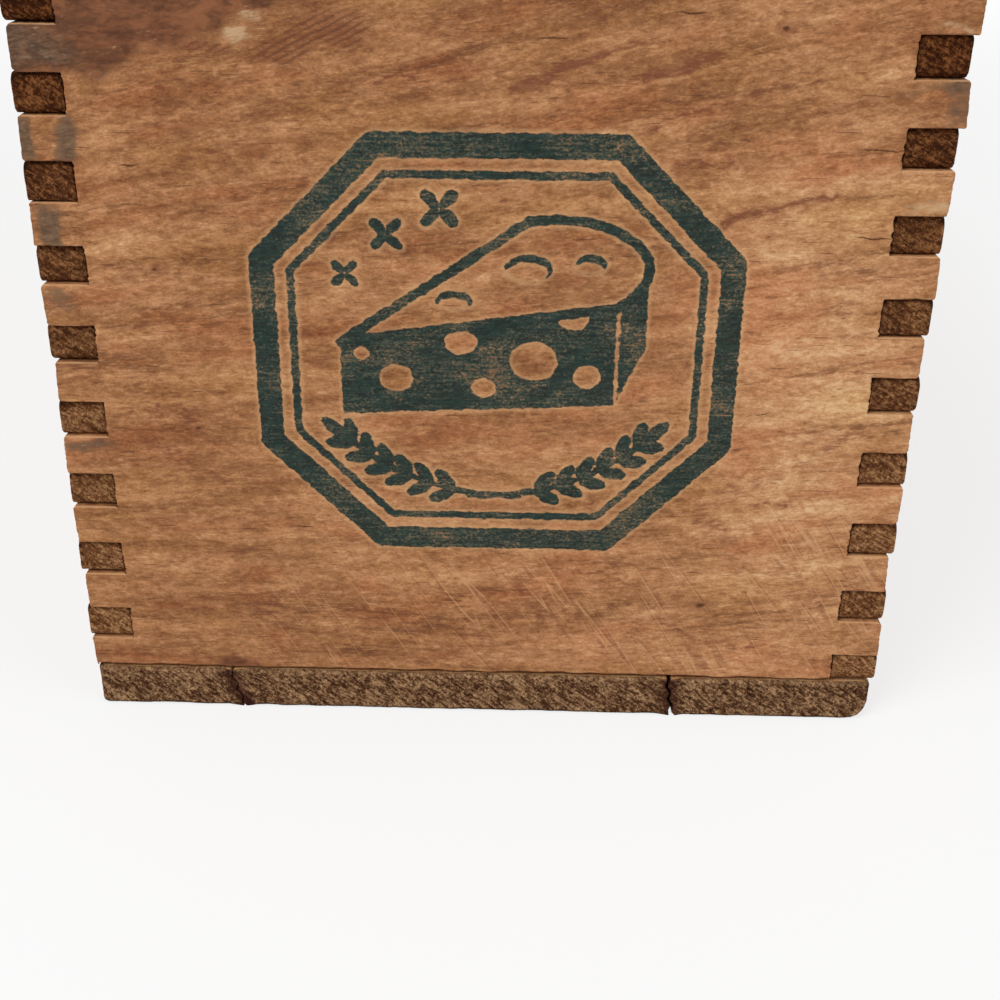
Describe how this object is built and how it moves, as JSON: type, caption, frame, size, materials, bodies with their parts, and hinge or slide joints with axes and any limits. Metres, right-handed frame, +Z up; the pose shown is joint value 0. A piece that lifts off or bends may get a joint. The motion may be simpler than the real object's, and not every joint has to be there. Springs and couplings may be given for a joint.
{
  "type": "wooden cheese box",
  "caption": "Long narrow wooden box with finger-jointed corners, a nailed bottom and a flat hinged lid that a small swinging hook holds shut.",
  "frame": {"origin": "middle of the bottom board's underside", "axes": "+X across the box towards the hinges, +Y along the box away from the stamped end, +Z up"},
  "size_m": [0.1085, 0.2992, 0.1],
  "materials": {
    "end_wood": "bare aged pine with a worn stamp",
    "side_wood": "bare aged pine",
    "bottom_wood": "rough-sawn weathered pine",
    "lid_wood": "bare aged pine",
    "iron": "rusted wire nails",
    "brass": "dull aged brass"
  },
  "bodies": {
    "box": {"front_end_panel": "end_wood", "rear_end_panel": "end_wood", "left_side_panel": "side_wood", "right_side_panel": "side_wood", "bottom_board": "bottom_wood", "bottom_nails": "iron", "front_hinge_body_leaf": "brass", "front_hinge_pin": "brass", "front_hinge_body_screws": "brass", "rear_hinge_body_leaf": "brass", "rear_hinge_pin": "brass", "rear_hinge_body_screws": "brass", "latch_pivot_screw": "brass"},
    "lid": {"lid_board": "lid_wood", "front_hinge_lid_leaf": "brass", "front_hinge_lid_screws": "brass", "rear_hinge_lid_leaf": "brass", "rear_hinge_lid_screws": "brass", "latch_peg_screw": "brass"},
    "hook": {"latch_hook": "brass"}
  },
  "joints": [
    {"name": "lid_hinge", "type": "hinge", "parent": "box", "child": "lid", "pos_m": [0.053, 0, 0.09446], "axis": [0, 1, 0], "range_deg": [0, 215]},
    {"name": "hook_swing", "type": "hinge", "parent": "box", "child": "hook", "pos_m": [-0.05155, 0, 0.08046], "axis": [1, 0, 0], "range_deg": [-155, 180]}
  ]
}
